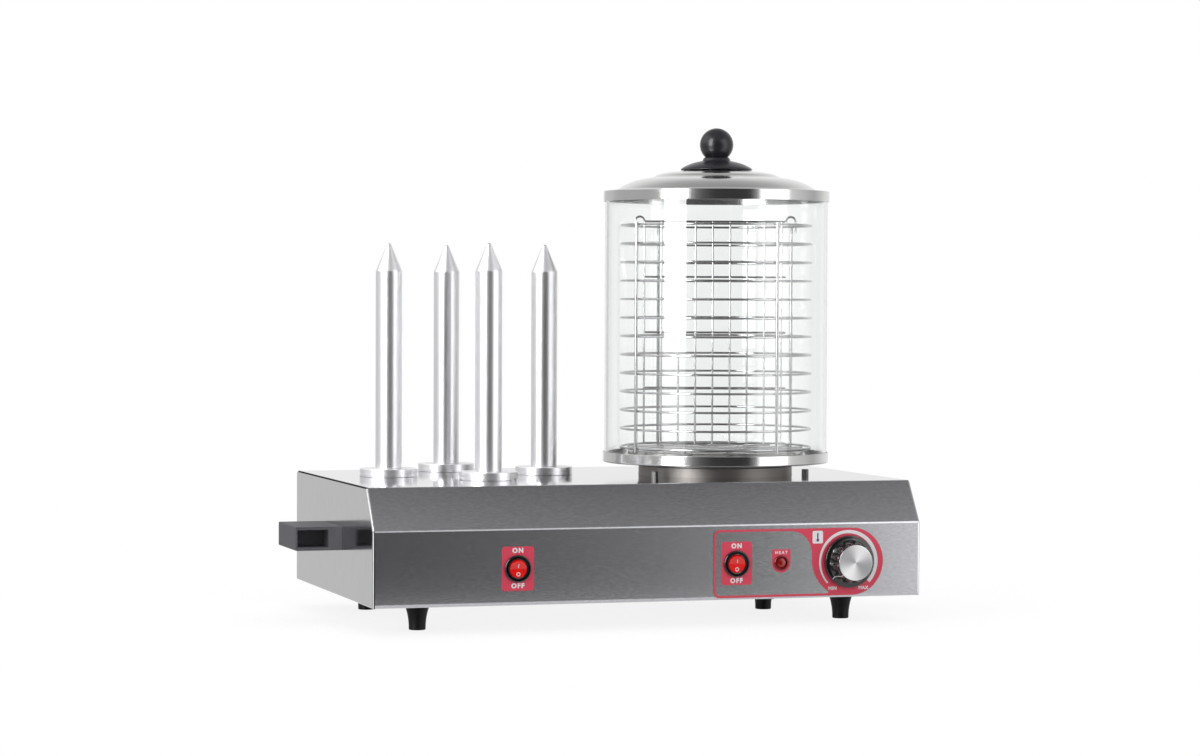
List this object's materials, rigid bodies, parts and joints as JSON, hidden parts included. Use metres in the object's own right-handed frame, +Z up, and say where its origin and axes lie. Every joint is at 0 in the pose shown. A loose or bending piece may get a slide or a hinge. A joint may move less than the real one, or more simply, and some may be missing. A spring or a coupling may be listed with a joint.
{
  "type": "hot dog toaster",
  "caption": "Countertop sausage steamer with glass cylinder, wire basket and domed lid, beside heated bun spikes on a folded steel housing with switches and a thermostat.",
  "frame": {"origin": "on the floor under the middle of the housing, at the centre of the whole object's footprint", "axes": "+X to the right as seen from the front, -Y to the front with the controls, +Z up"},
  "size_m": [0.57, 0.331, 0.4334],
  "materials": {
    "brushed_steel": "brushed stainless sheet",
    "pressed_steel": "spun and polished stainless",
    "wire_steel": "bright welded wire",
    "spike_aluminium": "turned and brushed",
    "zinc_steel": "zinc-plated",
    "element_steel": "dull heater sheath",
    "rubber": "moulded black rubber",
    "seal_rubber": "red-brown silicone",
    "black_plastic": "satin heat-proof plastic",
    "knob_black": "smooth black plastic",
    "cap_silver": "spun face",
    "red_foil": "printed polyester film",
    "red_rocker": "clear red plastic",
    "lamp_red": "clear dark red plastic",
    "clear_glass": "clear heat-proof glass",
    "white_plastic": "ivory"
  },
  "bodies": {
    "housing": {"base_plate": "brushed_steel", "basin_bolts": "zinc_steel", "basin_gasket": "seal_rubber", "basin_nuts": "zinc_steel", "cable_gland": "black_plastic", "clamp_nut": "zinc_steel", "control_foil": "red_foil", "element_clamp": "zinc_steel", "foot_nuts": "zinc_steel", "foot_screws": "zinc_steel", "front_left_foot": "rubber", "front_right_foot": "rubber", "front_spike": "spike_aluminium", "front_spike_disc": "spike_aluminium", "gland_nut": "black_plastic", "handle_screws": "zinc_steel", "heater_switch_body": "knob_black", "heating_element": "element_steel", "housing_wrap": "brushed_steel", "lamp_bezel": "lamp_red", "lamp_lens": "lamp_red", "lamp_nut": "zinc_steel", "left_handle": "black_plastic", "left_side_panel": "brushed_steel", "left_spike": "spike_aluminium", "left_spike_disc": "spike_aluminium", "middle_foot": "rubber", "plate_screws": "zinc_steel", "rear_left_foot": "rubber", "rear_right_foot": "rubber", "rear_spike": "spike_aluminium", "rear_spike_disc": "spike_aluminium", "right_handle": "black_plastic", "right_side_panel": "brushed_steel", "right_spike": "spike_aluminium", "right_spike_disc": "spike_aluminium", "spike_heaters": "element_steel", "spike_nuts": "zinc_steel", "spike_switch_body": "knob_black", "switch_label": "red_foil", "terminal_block": "white_plastic", "thermal_cutout": "element_steel", "thermostat_body": "black_plastic", "thermostat_bulb": "element_steel", "thermostat_screws": "zinc_steel", "water_basin": "pressed_steel"},
    "tray": {"steam_tray": "pressed_steel", "steam_plate": "pressed_steel"},
    "glass": {"glass_cylinder": "clear_glass"},
    "basket": {"basket": "wire_steel"},
    "divider": {"basket_divider": "wire_steel"},
    "lid": {"lid": "pressed_steel", "lid_knob": "black_plastic", "lid_screw": "zinc_steel"},
    "spike_rocker": {"spike_switch_rocker": "red_rocker"},
    "heater_rocker": {"heater_switch_rocker": "red_rocker"},
    "knob": {"thermostat_shaft": "zinc_steel", "control_knob": "knob_black", "knob_cap": "cap_silver"}
  },
  "joints": [
    {"name": "tray_lift", "type": "slide", "parent": "housing", "child": "tray", "axis": [0, 0, 1], "range_m": [0, 0.06]},
    {"name": "glass_lift", "type": "slide", "parent": "tray", "child": "glass", "axis": [0, 0, 1], "range_m": [0, 0.05]},
    {"name": "basket_lift", "type": "slide", "parent": "glass", "child": "basket", "axis": [0, 0, 1], "range_m": [0, 0.26]},
    {"name": "divider_lift", "type": "slide", "parent": "basket", "child": "divider", "axis": [0, 0, 1], "range_m": [0, 0.22]},
    {"name": "lid_lift", "type": "slide", "parent": "divider", "child": "lid", "axis": [0, 0, 1], "range_m": [0, 0.12]},
    {"name": "spike_rocker_turn", "type": "hinge", "parent": "housing", "child": "spike_rocker", "pos_m": [-0.1196, -0.1465, 0.0545], "axis": [-1, 0, 0], "range_deg": [0, 20]},
    {"name": "heater_rocker_turn", "type": "hinge", "parent": "housing", "child": "heater_rocker", "pos_m": [0.0745, -0.1465, 0.0545], "axis": [-1, 0, 0], "range_deg": [0, 20]},
    {"name": "knob_turn", "type": "hinge", "parent": "housing", "child": "knob", "pos_m": [0.177, -0.1475, 0.0545], "axis": [0, 1, 0], "range_deg": [0, 270]}
  ]
}
